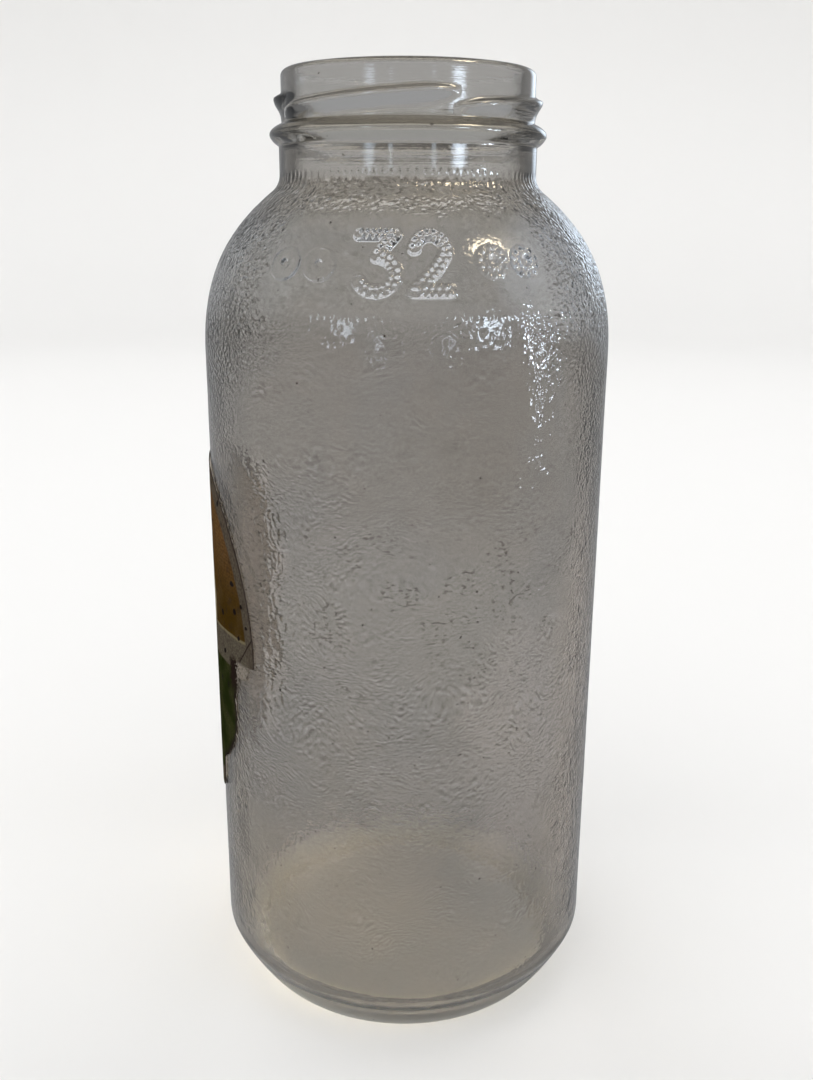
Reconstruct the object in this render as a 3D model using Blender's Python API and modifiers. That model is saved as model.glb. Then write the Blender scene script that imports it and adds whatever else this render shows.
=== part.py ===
"""Wide-mouthed glass drink bottle with a four-start neck thread and the rest of an oval paper label.

Run it with: blender --background --python part.py
Units are metres. +Z is up. The origin is on the bottle's axis, in the plane that it stands on.
The front of the bottle faces -Y. Angles round the axis count from there, towards +X.
"""

import math

import bmesh
import bpy
from mathutils import Vector

MM = 0.001

# Body
HEIGHT = 210.7 * MM
BODY_RADIUS = 45.0 * MM
WALL = 3.0 * MM
TURN_STEPS = 72

# Foot: a tapering heel, the ring that the bottle stands on, and the hollow under the base
BEARING_RADIUS = 37.1 * MM
BEARING_WIDTH = 3.2 * MM
HEEL_HEIGHT = 12.4 * MM
HEEL_TOP_HANDLE = 1.3 * MM
HEEL_FOOT_HANDLE = 1.7 * MM
PUSH_UP = 3.4 * MM
BASE_THICKNESS = 5.0 * MM
INNER_HEEL_RADIUS = 9.0 * MM

# Shoulder: a dome that runs into the neck through a small fillet
SHOULDER_START = 152.7 * MM
SHOULDER_START_HANDLE = 16.7 * MM
DOME_END_RADIUS = 29.34 * MM
DOME_END_HEIGHT = 186.4 * MM
DOME_END_HANDLE = 12.4 * MM
DOME_END_SLOPE = math.radians(38.8)

# Neck and finish
NECK_RADIUS = 27.72 * MM
BEAD_RADIUS = 29.65 * MM
BEAD_HEIGHT = 197.8 * MM
BEAD_HALF_WIDTH = 2.2 * MM
FINISH_RADIUS = 27.03 * MM
FINISH_WALL = 2.8 * MM
RIM_ROUNDING = 1.3 * MM

# Thread
THREAD_STARTS = 4
THREAD_CREST = 28.7 * MM
THREAD_THICKNESS = 4.0 * MM
THREAD_SPAN = math.radians(93.0)
THREAD_LEAD = 12.4 * MM
THREAD_FIRST_ANGLE = math.radians(19.0)
THREAD_FIRST_HEIGHT = 200.9 * MM
THREAD_TAPER = math.radians(10.0)
THREAD_POINTS = 18

# Raised numerals and lozenges on the shoulder
MARK_STROKE_RADIUS = 1.25 * MM
MARK_PROUD = 0.55 * MM
MARK_LOW = 166.8 * MM
MARK_HIGH = 179.3 * MM
MARK_WIDTH = 9.2 * MM
LOZENGE_SIZE = 0.62
NUMERAL_THREE_ANGLE = math.radians(-7.7)
NUMERAL_TWO_ANGLE = math.radians(6.2)
LOZENGE_ANGLES = [math.radians(angle) for angle in (-35.0, -21.5, 20.0, 33.5)]

# Label: what is left of an oval paper label on the left side
LABEL_CENTRE_ANGLE = math.radians(-91.0)
LABEL_CENTRE_HEIGHT = 88.0 * MM
LABEL_HALF_WIDTH = 35.5 * MM
LABEL_HALF_HEIGHT = 41.5 * MM
LABEL_GAP = 0.3 * MM
LABEL_THICKNESS = 0.25 * MM
LABEL_SPOKES = 80
LABEL_RINGS = 7
# (direction from the label's centre in degrees, the share of its reach that is left)
LABEL_TEARS = [
    (-69.0, 1.0),
    (-64.5, 0.93),
    (-61.0, 0.84),
    (-46.0, 0.86),
    (-37.0, 0.87),
    (-28.0, 0.84),
    (-21.0, 0.77),
    (-10.7, 0.87),
    (-8.3, 0.75),
    (-1.7, 1.0),
    (150.0, 1.0),
    (158.0, 0.93),
    (171.0, 0.96),
    (183.0, 0.88),
    (196.0, 0.94),
    (205.0, 1.0),
]


def bezier(start, start_handle, end_handle, end, pieces):
    """The points of a cubic Bezier curve in (radius, height), its end left out."""
    points = []
    for step in range(pieces):
        t = step / pieces
        weights = ((1 - t) ** 3, 3 * (1 - t) ** 2 * t, 3 * (1 - t) * t**2, t**3)
        corners = (start, start_handle, end_handle, end)
        points.append(tuple(sum(w * c[axis] for w, c in zip(weights, corners)) for axis in (0, 1)))
    return points


def arc(centre, radius, start, end, pieces):
    """The points of an arc in (radius, height), both ends included. Angles count from outwards, up."""
    points = []
    for step in range(pieces + 1):
        angle = start + (end - start) * step / pieces
        points.append((centre[0] + radius * math.cos(angle), centre[1] + radius * math.sin(angle)))
    return points


def neck_fillet_radius():
    return (DOME_END_RADIUS - NECK_RADIUS) / (1 - math.cos(math.pi / 2 - DOME_END_SLOPE))


def shoulder(inset, pieces):
    """The dome and the neck fillet from the bottom up, moved in from the outer surface by inset."""
    cos_slope = math.cos(DOME_END_SLOPE)
    sin_slope = math.sin(DOME_END_SLOPE)
    end = (DOME_END_RADIUS - inset * sin_slope, DOME_END_HEIGHT - inset * cos_slope)
    end_handle = (end[0] + DOME_END_HANDLE * cos_slope, end[1] - DOME_END_HANDLE * sin_slope)
    start = (BODY_RADIUS - inset, SHOULDER_START)
    start_handle = (start[0], SHOULDER_START + SHOULDER_START_HANDLE)
    dome = bezier(start, start_handle, end_handle, end, pieces)
    fillet_radius = neck_fillet_radius() + inset
    fillet_centre = (NECK_RADIUS + neck_fillet_radius(), neck_fillet_height())
    fillet = arc(fillet_centre, fillet_radius, math.pi * 1.5 - DOME_END_SLOPE, math.pi, 3)
    return dome + fillet


def neck_fillet_height():
    return DOME_END_HEIGHT + neck_fillet_radius() * math.cos(DOME_END_SLOPE)


def outer_profile():
    """From the rim down the outside to the ring that the bottle stands on, and in to the axis."""
    rim_centre = (FINISH_RADIUS - RIM_ROUNDING, HEIGHT - RIM_ROUNDING)
    profile = arc(rim_centre, RIM_ROUNDING, math.pi / 2, 0.0, 3)
    profile += bead()
    profile += reversed(shoulder(0.0, 10))
    heel_top = (BODY_RADIUS, HEEL_HEIGHT)
    heel_foot = (BEARING_RADIUS, 0.0)
    profile += bezier(
        heel_top,
        (BODY_RADIUS, HEEL_HEIGHT - HEEL_TOP_HANDLE),
        (BEARING_RADIUS + HEEL_FOOT_HANDLE, 0.0),
        heel_foot,
        6,
    )
    profile.append(heel_foot)
    hollow_edge = BEARING_RADIUS - BEARING_WIDTH
    profile += dome_under_base(hollow_edge, 4)
    return profile


def bead():
    """The raised ring between the thread and the neck, as a half wave standing on the two."""
    points = []
    for step in range(7):
        along = 1.0 - 2.0 * step / 6
        foot = NECK_RADIUS + (FINISH_RADIUS - NECK_RADIUS) * (1 + along) / 2
        lift = math.cos(along * math.pi / 2) ** 0.8
        points.append((foot + (BEAD_RADIUS - foot) * lift, BEAD_HEIGHT + along * BEAD_HALF_WIDTH))
    return points


def dome_under_base(edge, pieces):
    """A shallow dome, level at the axis, from the bearing ring's inner edge."""
    points = []
    for step in range(pieces + 1):
        radius = edge * (1 - step / pieces)
        points.append((radius, PUSH_UP * (1 - (radius / edge) ** 2)))
    return points


def inner_profile():
    """From the axis on the floor out to the wall and up to the rim."""
    inner_radius = BODY_RADIUS - WALL
    floor_edge = inner_radius - INNER_HEEL_RADIUS
    floor_centre_height = PUSH_UP + BASE_THICKNESS
    floor_edge_height = BASE_THICKNESS
    profile = []
    for step in range(4):
        radius = floor_edge * step / 4
        dip = (floor_centre_height - floor_edge_height) * (radius / floor_edge) ** 2
        profile.append((radius, floor_centre_height - dip))
    heel_centre = (floor_edge, floor_edge_height + INNER_HEEL_RADIUS)
    profile += arc(heel_centre, INNER_HEEL_RADIUS, -math.pi / 2, 0.0, 6)
    profile += shoulder(WALL, 8)
    mouth_radius = FINISH_RADIUS - FINISH_WALL
    mouth_start = (mouth_radius, BEAD_HEIGHT - BEAD_HALF_WIDTH)
    profile.append(mouth_start)
    inner_rounding = (FINISH_WALL - RIM_ROUNDING) * 0.8
    rim_centre = (mouth_radius + inner_rounding, HEIGHT - inner_rounding)
    profile += arc(rim_centre, inner_rounding, math.pi, math.pi / 2, 3)
    return profile


def material(name, colour, roughness, transmission=0.0):
    made = bpy.data.materials.new(name)
    made.use_nodes = True
    shader = made.node_tree.nodes["Principled BSDF"]
    shader.inputs["Base Color"].default_value = (*colour, 1.0)
    shader.inputs["Roughness"].default_value = roughness
    shader.inputs["Metallic"].default_value = 0.0
    shader.inputs["Transmission Weight"].default_value = transmission
    made.diffuse_color = (*colour, 1.0)
    return made


def new_collection(name):
    made = bpy.data.collections.new(name)
    bpy.context.scene.collection.children.link(made)
    return made


def turned_piece(name, profile, collection):
    """A profile at +X, turned about Z. Its ends lie on the axis."""
    mesh = bpy.data.meshes.new(name)
    points = [(radius, 0.0, height) for radius, height in profile]
    edges = [(index, index + 1) for index in range(len(points) - 1)]
    mesh.from_pydata(points, edges, [])
    piece = bpy.data.objects.new(name, mesh)
    collection.objects.link(piece)
    screw = piece.modifiers.new("Turn", "SCREW")
    screw.axis = "Z"
    screw.angle = math.tau
    screw.steps = TURN_STEPS
    screw.render_steps = TURN_STEPS
    screw.use_merge_vertices = True
    screw.merge_threshold = 0.00001
    screw.use_smooth_shade = True
    return piece


def round_the_bottle(radius, angle, height):
    return Vector((radius * math.sin(angle), -radius * math.cos(angle), height))


def tube(name, points, radius, sizes, cyclic, collection):
    """A mesh tube along the points. Sizes scale its radius at each point."""
    curve = bpy.data.curves.new(name, "CURVE")
    curve.dimensions = "3D"
    curve.bevel_depth = radius
    curve.bevel_resolution = 2
    curve.use_fill_caps = not cyclic
    spline = curve.splines.new("POLY")
    spline.points.add(len(points) - 1)
    for control, point, size in zip(spline.points, points, sizes):
        control.co = (*point, 1.0)
        control.radius = size
    spline.use_cyclic_u = cyclic
    guide = bpy.data.objects.new(name + "_guide", curve)
    collection.objects.link(guide)
    bpy.context.view_layer.update()
    evaluated = guide.evaluated_get(bpy.context.evaluated_depsgraph_get())
    mesh = bpy.data.meshes.new_from_object(evaluated)
    welded = bmesh.new()
    welded.from_mesh(mesh)
    bmesh.ops.remove_doubles(welded, verts=welded.verts, dist=0.00001)
    bmesh.ops.recalc_face_normals(welded, faces=welded.faces)
    welded.to_mesh(mesh)
    welded.free()
    piece = bpy.data.objects.new(name, mesh)
    piece.matrix_world = guide.matrix_world
    bpy.data.objects.remove(guide)
    collection.objects.link(piece)
    piece.hide_render = True
    piece.display_type = "WIRE"
    return piece


def thread_ridge(start, collection):
    """One of the thread's ridges: a round bar half sunk in the finish, pointed at both ends."""
    bar_radius = THREAD_THICKNESS / 2
    path_radius = THREAD_CREST - bar_radius
    first_angle = THREAD_FIRST_ANGLE + start * math.tau / THREAD_STARTS
    points = []
    sizes = []
    for step in range(THREAD_POINTS):
        turned = THREAD_SPAN * step / (THREAD_POINTS - 1)
        rise = THREAD_LEAD * turned / math.tau
        points.append(round_the_bottle(path_radius, first_angle + turned, THREAD_FIRST_HEIGHT + rise))
        from_end = min(turned, THREAD_SPAN - turned)
        sizes.append(0.25 + 0.75 * math.sin(min(from_end / THREAD_TAPER, 1.0) * math.pi / 2))
    return tube(f"thread_ridge_{start + 1}", points, bar_radius, sizes, False, collection)


def shoulder_surface():
    """(height, radius, slope) along the outer shoulder, from the bottom up."""
    profile = shoulder(0.0, 48)
    rows = []
    for (radius, height), (next_radius, next_height) in zip(profile, profile[1:]):
        slope = math.atan2(radius - next_radius, next_height - height)
        rows.append((height, radius, slope))
    return rows


def on_shoulder(angle, across, up, rows):
    """A point of a mark, across and up from its foot's middle, on the slope of the shoulder."""
    height = MARK_LOW + up * (MARK_HIGH - MARK_LOW)
    _, radius, slope = min(rows, key=lambda row: abs(row[0] - height))
    middle_radius = min(rows, key=lambda row: abs(row[0] - (MARK_LOW + MARK_HIGH) / 2))[1]
    sunk = MARK_STROKE_RADIUS - MARK_PROUD
    turned = angle + across * MARK_WIDTH / middle_radius
    return round_the_bottle(radius - sunk * math.cos(slope), turned, height - sunk * math.sin(slope))


def three_outline():
    """The middle line of a flat-topped 3, in shares of a mark's width and height."""
    outline = [(-0.38, 0.9), (0.0, 0.9), (0.34, 0.9), (0.17, 0.74), (-0.02, 0.57)]
    for step in range(11):
        angle = math.radians(75.0 - 230.0 * step / 10)
        outline.append((-0.02 + 0.38 * math.cos(angle), 0.33 + 0.24 * math.sin(angle)))
    return outline


def two_outline():
    """The middle line of a 2, in shares of a mark's width and height."""
    outline = []
    for step in range(9):
        angle = math.radians(175.0 - 195.0 * step / 8)
        outline.append((0.36 * math.cos(angle), 0.67 + 0.23 * math.sin(angle)))
    outline += [(0.14, 0.42), (-0.12, 0.26), (-0.37, 0.1), (0.0, 0.1), (0.38, 0.1)]
    return outline


def lozenge_outline():
    half = LOZENGE_SIZE / 2
    return [(0.0, 0.5 + half), (half, 0.5), (0.0, 0.5 - half), (-half, 0.5)]


def mark(name, angle, outline, cyclic, collection):
    rows = shoulder_surface()
    points = [on_shoulder(angle, across, up, rows) for across, up in outline]
    return tube(name, points, MARK_STROKE_RADIUS, [1.0] * len(points), cyclic, collection)


def join_to(piece, others, collection):
    """Unites the piece with all the others, which are then removed."""
    union = piece.modifiers.new("Join", "BOOLEAN")
    union.operation = "UNION"
    union.operand_type = "COLLECTION"
    union.collection = collection
    union.solver = "EXACT"
    bpy.context.view_layer.update()
    evaluated = piece.evaluated_get(bpy.context.evaluated_depsgraph_get())
    joined = bpy.data.meshes.new_from_object(evaluated)
    piece.modifiers.clear()
    piece.data = joined
    for other in others:
        bpy.data.objects.remove(other)


def bottle(parts, helpers):
    piece = turned_piece("bottle", inner_profile() + outer_profile(), parts)
    raised = [thread_ridge(start, helpers) for start in range(THREAD_STARTS)]
    raised.append(mark("numeral_three", NUMERAL_THREE_ANGLE, three_outline(), False, helpers))
    raised.append(mark("numeral_two", NUMERAL_TWO_ANGLE, two_outline(), False, helpers))
    for index, angle in enumerate(LOZENGE_ANGLES):
        raised.append(mark(f"lozenge_{index + 1}", angle, lozenge_outline(), True, helpers))
    join_to(piece, raised, helpers)
    piece.data.shade_smooth()
    piece.data.set_sharp_from_angle(angle=math.radians(40))
    piece.data.materials.clear()
    piece.data.materials.append(material("bottle_glass", (0.80, 0.80, 0.76), 0.06, 1.0))
    return piece


def label_reach(direction):
    """The share of the oval's reach that the tears leave, in a direction in degrees."""
    for (start, start_share), (end, end_share) in zip(LABEL_TEARS, LABEL_TEARS[1:]):
        if start <= direction <= end:
            along = (direction - start) / (end - start)
            return start_share + (end_share - start_share) * along
    return 1.0


def label(parts):
    """An oval sheet laid on the glass, cut back along its tears, with its thickness outwards."""
    radius = BODY_RADIUS + LABEL_GAP
    sheet = bmesh.new()
    centre = sheet.verts.new(round_the_bottle(radius, LABEL_CENTRE_ANGLE, LABEL_CENTRE_HEIGHT))
    rings = []
    for ring in range(1, LABEL_RINGS + 1):
        row = []
        for spoke in range(LABEL_SPOKES):
            direction = -90.0 + 360.0 * spoke / LABEL_SPOKES
            reach = label_reach(direction) * ring / LABEL_RINGS
            across = reach * LABEL_HALF_WIDTH * math.cos(math.radians(direction))
            up = reach * LABEL_HALF_HEIGHT * math.sin(math.radians(direction))
            angle = LABEL_CENTRE_ANGLE + across / BODY_RADIUS
            height = LABEL_CENTRE_HEIGHT + up
            row.append(sheet.verts.new(round_the_bottle(radius, angle, height)))
        rings.append(row)
    for spoke in range(LABEL_SPOKES):
        after = (spoke + 1) % LABEL_SPOKES
        sheet.faces.new((centre, rings[0][spoke], rings[0][after]))
        for inner, outer in zip(rings, rings[1:]):
            sheet.faces.new((inner[spoke], outer[spoke], outer[after], inner[after]))
    mesh = bpy.data.meshes.new("label")
    sheet.to_mesh(mesh)
    sheet.free()
    piece = bpy.data.objects.new("label", mesh)
    parts.objects.link(piece)
    thickness = piece.modifiers.new("Thickness", "SOLIDIFY")
    thickness.thickness = LABEL_THICKNESS
    thickness.offset = 1.0
    mesh.shade_smooth()
    mesh.set_sharp_from_angle(angle=math.radians(40))
    mesh.materials.append(material("label_paper", (0.42, 0.36, 0.22), 0.75))
    return piece


def main():
    for old in list(bpy.data.objects):
        bpy.data.objects.remove(old)
    parts = new_collection("glass_drink_bottle")
    helpers = new_collection("helpers")
    bottle(parts, helpers)
    label(parts)
    bpy.data.collections.remove(helpers)


main()
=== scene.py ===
"""The looks of an empty glass drink bottle: a wrinkled body and the torn rest of an oval paper label.

Everything is in metres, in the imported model's frame: +Z up, the origin on the bottle's axis at its foot,
the front towards -Y. Angles round the axis count from the front, towards +X.
"""

import itertools
import math

import bpy
import numpy as np
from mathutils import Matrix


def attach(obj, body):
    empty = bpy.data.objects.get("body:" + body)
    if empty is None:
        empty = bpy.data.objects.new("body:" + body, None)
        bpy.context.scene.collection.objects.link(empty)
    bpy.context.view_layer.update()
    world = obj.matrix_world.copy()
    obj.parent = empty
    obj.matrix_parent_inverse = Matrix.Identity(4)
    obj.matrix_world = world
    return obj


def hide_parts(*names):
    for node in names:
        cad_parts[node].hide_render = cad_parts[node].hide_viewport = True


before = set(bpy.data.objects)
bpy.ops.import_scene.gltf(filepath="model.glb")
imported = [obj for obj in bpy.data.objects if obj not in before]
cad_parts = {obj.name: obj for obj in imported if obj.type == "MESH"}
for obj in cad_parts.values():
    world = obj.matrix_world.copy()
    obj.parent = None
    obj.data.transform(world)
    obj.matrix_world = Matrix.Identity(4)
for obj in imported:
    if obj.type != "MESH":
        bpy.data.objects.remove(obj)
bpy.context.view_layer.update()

MM = 0.001

# Body and foot
HEIGHT = 210.7 * MM
BODY_RADIUS = 45.0 * MM
WALL = 3.0 * MM
BEARING_RADIUS = 37.1 * MM
BEARING_WIDTH = 3.2 * MM
HEEL_HEIGHT = 12.4 * MM
HEEL_TOP_HANDLE = 1.3 * MM
HEEL_FOOT_HANDLE = 1.7 * MM
PUSH_UP = 3.4 * MM
BASE_THICKNESS = 5.0 * MM
INNER_HEEL_RADIUS = 9.0 * MM

# Shoulder
SHOULDER_START = 152.7 * MM
SHOULDER_START_HANDLE = 16.7 * MM
DOME_END_RADIUS = 29.34 * MM
DOME_END_HEIGHT = 186.4 * MM
DOME_END_HANDLE = 12.4 * MM
DOME_END_SLOPE = math.radians(38.8)

# Neck, bead, finish and rim
NECK_RADIUS = 27.72 * MM
BEAD_RADIUS = 29.65 * MM
BEAD_HEIGHT = 197.8 * MM
BEAD_HALF_WIDTH = 2.2 * MM
FINISH_RADIUS = 27.03 * MM
FINISH_WALL = 2.8 * MM
RIM_ROUNDING = 1.3 * MM

# Thread ridges: each reaches farther down than up, and is rounder below
THREAD_STARTS = 4
THREAD_PROUD = 1.6 * MM
THREAD_SPAN = math.radians(93.0)
THREAD_LEAD = 12.4 * MM
THREAD_FIRST_ANGLE = math.radians(19.0)
THREAD_FIRST_HEIGHT = 202.2 * MM
THREAD_TAPER = math.radians(17.0)
THREAD_ABOVE = 0.70 * MM
THREAD_BELOW = 2.1 * MM
THREAD_ABOVE_POWER = 2.8
THREAD_BELOW_POWER = 1.9
THREAD_END_DROP = 0.5 * MM
THREAD_END_SHARE = 0.45

# Raised marks on the smooth panel of the shoulder
PANEL_HALF_ANGLE = math.radians(38.0)
PANEL_LOW = 164.6 * MM
PANEL_HIGH = 182.2 * MM
MARK_LOW = 166.8 * MM
MARK_HIGH = 179.3 * MM
MARK_WIDTH = 9.2 * MM
MARK_STROKE = 1.22 * MM
MARK_EDGE = (MARK_STROKE * 0.95, MARK_STROKE * 1.22)
MARK_RIM = 0.22 * MM
BAND_SHARE = 0.50
RIM_SHARE = 0.32
PEARL_SHARE = 0.95
NUMERAL_PROUD = 0.95 * MM
ROSETTE_RADIUS = 2.1 * MM
NUMERAL_THREE_ANGLE = math.radians(-7.7)
NUMERAL_TWO_ANGLE = math.radians(6.2)
# (angle, middle as a share of a mark's height, how far it stands out, whether it has pearls)
ROSETTES = [
    (math.radians(-35.0), 0.45, 0.60 * MM, False),
    (math.radians(-24.0), 0.45, 0.60 * MM, False),
    (math.radians(23.5), 0.50, 0.50 * MM, True),
    (math.radians(34.0), 0.50, 0.50 * MM, True),
]
PEARL_RADIUS = 0.5 * MM
PEARL_PITCH = 1.25 * MM
PEARL_ASIDE = 0.54 * MM

# Small relief: upright grooves at the neck, a row of pips under the panel, the mould's seams
UNEVEN_DEPTH = 0.03 * MM
NECK_GROOVE_COUNT = 108
NECK_GROOVE_DEPTH = 0.16 * MM
PIP_HEIGHT = 163.4 * MM
PIP_PITCH = 1.5 * MM
PIP_REACH = 0.5 * MM
PIP_PROUD = 0.16 * MM
SEAM_REACH = 0.35 * MM
SEAM_PROUD = 0.09 * MM

# Spacing of the mesh's rows and columns
BODY_ROWS = 0.7 * MM
HEEL_ROWS = 0.8 * MM
BASE_ROWS = 1.1 * MM
SHOULDER_ROWS = 0.45 * MM
PANEL_ROWS = 0.25 * MM
FINISH_ROWS = 0.35 * MM
INNER_ROWS = 2.6 * MM
INNER_SHOULDER_ROWS = 1.2 * MM
INNER_HEEL_ROWS = 1.6 * MM
INNER_RIM_ROWS = 0.3 * MM
FRONT_COLUMNS = 0.27 * MM
BACK_COLUMNS = 0.58 * MM

# Steps of height: (where it starts, where it is complete)
PLAIN_MIDDLE = (88 * MM, 108 * MM)
NECK_FOOT = (187 * MM, 190 * MM)
NECK_TOP = (192 * MM, 195 * MM)
WORN_FOOT = (4 * MM, 16 * MM)

# Bands of height: (lowest, highest, how softly it fades)
SHOULDER_WRINKLES = (158 * MM, 187.5 * MM, 3 * MM)
BODY_WRINKLES = (18 * MM, 156 * MM, 8 * MM)
LOW_WRINKLES = (60 * MM, 96 * MM, 10 * MM)
UNEVEN_GLASS = (14 * MM, 186 * MM, 5 * MM)
INNER_WAVES = (10 * MM, 204 * MM, 6 * MM)
NECK_GROOVES = (186.6 * MM, 189.4 * MM, 0.9 * MM)
MOULD_SEAM = (6 * MM, 207 * MM, 2 * MM)
UNDER_NECK = (184.5 * MM, 186.5 * MM, 4 * MM)
SHOULDER_RIPPLES = (160 * MM, 187 * MM, 2 * MM)
TURN_RIPPLES = (150 * MM, 160 * MM, 6 * MM)
LABEL_RIPPLES = (62 * MM, 128 * MM, 12 * MM)
BODY_DASHES = (88 * MM, 120 * MM, 7 * MM)
TURN_PITS = (153 * MM, 165 * MM, 3 * MM)
CALM_TURN = (145 * MM, 170 * MM, 6 * MM)

# The wrinkles' depth in millimetres
SHOULDER_DEPTH = 0.17
BODY_DEPTH = 0.075
LOW_DEPTH = 0.05

# Label: what is left of an oval paper label on the left side
LABEL_CENTRE_ANGLE = math.radians(-87.2)
LABEL_CENTRE_HEIGHT = 88.0 * MM
LABEL_HALF_WIDTH = 32.2 * MM
LABEL_HALF_HEIGHT = 41.5 * MM
LABEL_LIFT = 0.24 * MM
LABEL_THICKNESS = 0.16 * MM
LABEL_SPOKES = 420
LABEL_RINGS = 46
# (direction from the label's centre in degrees, the share of its reach that is left)
LABEL_TEARS = [
    (-90.0, 1.0), (-69.0, 1.0), (-64.5, 0.93), (-61.0, 0.84), (-46.0, 0.86), (-37.0, 0.87), (-28.0, 0.84),
    (-21.0, 0.77), (-12.5, 0.80), (-9.5, 0.79), (-7.9, 0.89), (-4.5, 0.93), (-2.4, 0.90), (-1.7, 1.0),
    (150.0, 1.0), (158.0, 0.92), (171.0, 0.95), (183.0, 0.89), (196.0, 0.93), (205.0, 1.0), (270.0, 1.0),
]

# The glass's tints on its outer surface, from the plain body to the broad patches. Beside the glass's own
# colour they hold painted light: a lighter heel, foot and underside, painted shade and highlight on the
# relief, and broad patches of painted light, shade and reflection.
GLASS_TINT = (0.232, 0.217, 0.197)
GLASS_WARM = (0.246, 0.220, 0.195)
GLASS_COOL = (0.222, 0.211, 0.199)
GLASS_UNDER_NECK = (0.345, 0.312, 0.262)
# painted light: lighter tints that lift the shade in the heel, the foot and the underside
GLASS_HEEL_PAINTED_LIGHT = (0.430, 0.398, 0.332)
GLASS_FOOT_PAINTED_LIGHT = (0.860, 0.820, 0.730)
GLASS_UNDERSIDE_PAINTED_LIGHT = (0.600, 0.586, 0.574)
# painted shade and painted highlight for the relief
GLASS_PAINTED_SHADE = (0.085, 0.076, 0.058)
GLASS_UPPER_EDGE_SHADE = (0.100, 0.084, 0.056)
GLASS_LOWER_EDGE_HIGHLIGHT = (0.560, 0.575, 0.600)
GLASS_DIRT = (0.020, 0.015, 0.010)
GLASS_SHADOW = (0.97, 0.97, 0.965)
GLASS_ROUGHNESS = (0.06, 0.36)
PEEL_DEPTH = 0.26 * MM
RIPPLE_DEPTH = 0.12 * MM
NECK_LINE_DEPTH = 0.022 * MM
# (height in mm where it starts and where it is complete, tint): the neck, the bead and the finish
GLASS_UPPER_BANDS = [
    (187.0, 191.0, (0.385, 0.372, 0.352)),
    (194.8, 196.5, (0.370, 0.357, 0.330)),
    (199.5, 202.0, (0.378, 0.371, 0.360)),
]
# painted shade: the faces of the finish that look up lose this share of each channel
GLASS_FACING_UP_SHADE = (0.02, 0.10, 0.26)
# Broad patches of painted light and shade; the bluish-white ones are painted reflections of the windows
# (angle and height of the middle in degrees and mm, half-width, half-height, strength, tint)
GLASS_PAINTED_LIGHT_PATCHES = [
    (0.0, 174.0, 70.0, 16.0, 0.9, (0.380, 0.368, 0.350)),
    (-52.0, 172.0, 30.0, 15.0, 0.9, (0.470, 0.470, 0.460)),
    (50.0, 171.0, 30.0, 15.0, 0.95, (0.680, 0.720, 0.780)),
    (18.0, 143.0, 24.0, 20.0, 0.6, (0.195, 0.170, 0.140)),
    (0.0, 136.0, 70.0, 18.0, 0.5, (0.205, 0.193, 0.174)),
    (0.0, 98.0, 60.0, 30.0, 0.7, (0.285, 0.272, 0.252)),
    (62.0, 70.0, 28.0, 66.0, 0.9, (0.430, 0.378, 0.330)),
    (32.0, 72.0, 22.0, 38.0, 0.9, (0.395, 0.358, 0.340)),
    (-36.0, 78.0, 20.0, 22.0, 0.8, (0.232, 0.222, 0.208)),
    (3.0, 62.0, 18.0, 16.0, 0.7, (0.240, 0.227, 0.209)),
    (-20.0, 40.0, 36.0, 22.0, 0.8, (0.275, 0.247, 0.217)),
    (-62.0, 152.0, 22.0, 20.0, 0.8, (0.200, 0.194, 0.180)),
    (-45.0, 104.0, 12.0, 36.0, 0.9, (0.400, 0.355, 0.320)),
    (76.0, 166.0, 26.0, 17.0, 0.8, (0.700, 0.760, 0.820)),
    (-70.0, 45.0, 24.0, 40.0, 0.8, (0.310, 0.276, 0.225)),
    (-46.0, 34.0, 20.0, 24.0, 0.7, (0.235, 0.210, 0.172)),
    (8.0, 66.0, 26.0, 11.0, 0.7, (0.330, 0.306, 0.285)),
    (-76.0, 170.0, 24.0, 15.0, 0.9, (0.620, 0.640, 0.650)),
]
# Where the pits lie close and catch the window: (middle, half-width and half-height as above, strength)
PIT_PATCHES = [
    (32.0, 164.0, 4.5, 3.0, 0.8),
    (35.0, 161.5, 4.5, 3.5, 0.8),
    (38.0, 158.0, 4.0, 4.0, 0.8),
    (24.0, 165.0, 12.0, 2.5, 0.25),
    (22.0, 173.0, 18.0, 7.0, 0.12),
]

# Camera, as fitted: its distance from the axis, its height and its tilt down
CAMERA_DISTANCE = 251.8 * MM
CAMERA_HEIGHT = 182.6 * MM
CAMERA_PITCH = math.radians(16.68)
CAMERA_ROLL = math.radians(0.35)
CAMERA_LENS = 36.67
CAMERA_SENSOR = 36.0

# Stage and lights
STAGE_STEPS = 96
FLOOR_RADIUS = 1.4
WINDOW_LEVEL = 0.14
SUN_STRENGTH = 1.42
AIR_COLOUR = (0.95, 0.97, 1.0)
AIR_SEEN = 0.85
AIR_REFLECTED = 0.38
AIR_ON_MATT = 0.12
COOL = (0.74, 0.86, 1.0)
WARM = (1.0, 0.86, 0.62)
# (name, azimuth, elevation, distance, width and height in degrees, radiance, colour)
WINDOWS = [
    ("window_wide", 43.0, 13.0, 0.36, 18.0, 15.0, 20.0, COOL),
    ("window_narrow", 22.0, 4.5, 1.2, 6.0, 13.0, 5.0, COOL),
    ("window_left", -32.0, 13.0, 0.36, 14.0, 15.0, 7.0, COOL),
    ("window_left_narrow", -14.5, 4.5, 1.2, 5.0, 13.0, 5.0, COOL),
    ("window_side", 77.0, -5.0, 1.2, 4.0, 12.0, 22.0, COOL),
    ("window_near_high", 64.0, 10.5, 0.22, 6.0, 7.0, 90.0, COOL),
    ("window_near_low", 71.0, 5.5, 0.22, 6.0, 7.0, 80.0, COOL),
    ("window_behind", 152.0, 12.0, 1.2, 30.0, 30.0, 2.6, COOL),
    ("ceiling_lamp", 66.0, 52.0, 1.0, 24.0, 18.0, 34.0, WARM),
]


# ---- the profile, as numbers


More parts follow.
